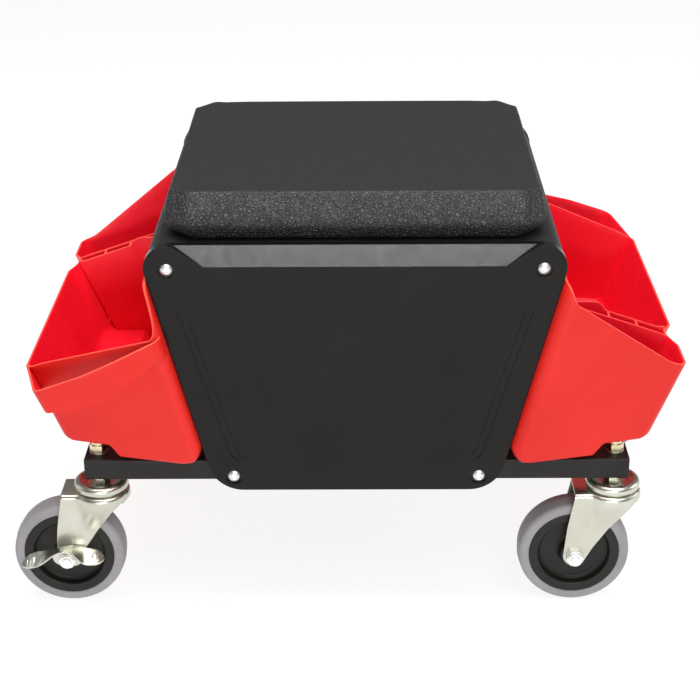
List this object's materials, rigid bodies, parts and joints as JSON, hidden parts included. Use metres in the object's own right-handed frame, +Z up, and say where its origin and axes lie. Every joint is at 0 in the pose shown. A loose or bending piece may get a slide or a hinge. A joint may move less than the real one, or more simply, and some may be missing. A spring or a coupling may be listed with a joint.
{
  "type": "wheeled mechanics seat",
  "caption": "Low wheeled workshop seat: padded top on a tapered box, a tool bin on each side, tubular base, four swivel castors, two with rocking brakes.",
  "frame": {"origin": "on the floor, under the middle of the object", "axes": "+X to the right across the front cover, towards the right-hand bin; +Y to the rear; +Z up"},
  "size_m": [0.771, 0.5258, 0.4815],
  "materials": {
    "black_plastic": "satin moulded",
    "cap_plastic": "matte moulded",
    "pad_skin": "pebbled foam skin",
    "plywood": "raw ply",
    "red_plastic": "semi-gloss moulded",
    "frame_paint": "fine-textured powder coat",
    "zinc_steel": "zinc plated",
    "bright_zinc": "bright zinc",
    "yellow_zinc": "yellow zinc",
    "wheel_core": "satin moulded",
    "tyre_grey": "non-marking grey rubber"
  },
  "bodies": {
    "seat_unit": {"front_cross_tube": "frame_paint", "rear_cross_tube": "frame_paint", "left_base_rail": "frame_paint", "right_base_rail": "frame_paint", "tube_end_caps": "cap_plastic", "front_left_upright": "frame_paint", "front_right_upright": "frame_paint", "rear_left_upright": "frame_paint", "rear_right_upright": "frame_paint", "front_upper_tube": "frame_paint", "rear_upper_tube": "frame_paint", "left_upper_rail": "frame_paint", "right_upper_rail": "frame_paint", "body_shell": "black_plastic", "front_cover": "black_plastic", "rear_cover": "black_plastic", "front_cover_bolts": "bright_zinc", "rear_cover_bolts": "bright_zinc", "rivet_nuts": "yellow_zinc", "seat_board": "plywood", "seat_pad": "pad_skin", "seat_bolts": "bright_zinc", "seat_tee_nuts": "yellow_zinc", "left_bin": "red_plastic", "right_bin": "red_plastic", "left_bin_screws": "bright_zinc", "right_bin_screws": "bright_zinc", "castor_stems": "zinc_steel", "stem_washers": "zinc_steel", "stem_nuts": "yellow_zinc", "race_caps": "zinc_steel", "swivel_balls": "bright_zinc"},
    "front_left_swivel": {"front_left_fork": "zinc_steel", "front_left_axle_bolt": "bright_zinc", "front_left_axle_nut": "bright_zinc", "front_left_axle_sleeve": "bright_zinc"},
    "front_left_wheel": {"front_left_core": "wheel_core", "front_left_tyre": "tyre_grey"},
    "front_left_brake": {"front_left_brake_lever": "zinc_steel"},
    "front_right_swivel": {"front_right_fork": "zinc_steel", "front_right_axle_bolt": "bright_zinc", "front_right_axle_nut": "bright_zinc", "front_right_axle_sleeve": "bright_zinc"},
    "front_right_wheel": {"front_right_core": "wheel_core", "front_right_tyre": "tyre_grey"},
    "rear_left_swivel": {"rear_left_fork": "zinc_steel", "rear_left_axle_bolt": "bright_zinc", "rear_left_axle_nut": "bright_zinc", "rear_left_axle_sleeve": "bright_zinc"},
    "rear_left_wheel": {"rear_left_core": "wheel_core", "rear_left_tyre": "tyre_grey"},
    "rear_right_swivel": {"rear_right_fork": "zinc_steel", "rear_right_axle_bolt": "bright_zinc", "rear_right_axle_nut": "bright_zinc", "rear_right_axle_sleeve": "bright_zinc"},
    "rear_right_wheel": {"rear_right_core": "wheel_core", "rear_right_tyre": "tyre_grey"},
    "rear_right_brake": {"rear_right_brake_lever": "zinc_steel"}
  },
  "joints": [
    {"name": "front_left_swivel_turn", "type": "hinge", "parent": "seat_unit", "child": "front_left_swivel", "pos_m": [-0.283, -0.177, 0.1405], "axis": [0, 0, 1], "continuous": true},
    {"name": "front_left_wheel_roll", "type": "hinge", "parent": "front_left_swivel", "child": "front_left_wheel", "pos_m": [-0.323, -0.177, 0.0625], "axis": [0, 1, 0], "continuous": true},
    {"name": "front_left_brake_rock", "type": "hinge", "parent": "front_left_swivel", "child": "front_left_brake", "pos_m": [-0.323, -0.177, 0.0625], "axis": [0, 1, 0], "range_deg": [-18, 18]},
    {"name": "front_right_swivel_turn", "type": "hinge", "parent": "seat_unit", "child": "front_right_swivel", "pos_m": [0.283, -0.177, 0.1405], "axis": [0, 0, 1], "continuous": true},
    {"name": "front_right_wheel_roll", "type": "hinge", "parent": "front_right_swivel", "child": "front_right_wheel", "pos_m": [0.243, -0.177, 0.0625], "axis": [0, 1, 0], "continuous": true},
    {"name": "rear_left_swivel_turn", "type": "hinge", "parent": "seat_unit", "child": "rear_left_swivel", "pos_m": [-0.283, 0.177, 0.1405], "axis": [0, 0, 1], "continuous": true},
    {"name": "rear_left_wheel_roll", "type": "hinge", "parent": "rear_left_swivel", "child": "rear_left_wheel", "pos_m": [-0.243, 0.177, 0.0625], "axis": [0, 1, 0], "continuous": true},
    {"name": "rear_right_swivel_turn", "type": "hinge", "parent": "seat_unit", "child": "rear_right_swivel", "pos_m": [0.283, 0.177, 0.1405], "axis": [0, 0, 1], "continuous": true},
    {"name": "rear_right_wheel_roll", "type": "hinge", "parent": "rear_right_swivel", "child": "rear_right_wheel", "pos_m": [0.323, 0.177, 0.0625], "axis": [0, 1, 0], "continuous": true},
    {"name": "rear_right_brake_rock", "type": "hinge", "parent": "rear_right_swivel", "child": "rear_right_brake", "pos_m": [0.323, 0.177, 0.0625], "axis": [0, 1, 0], "range_deg": [-18, 18]}
  ]
}
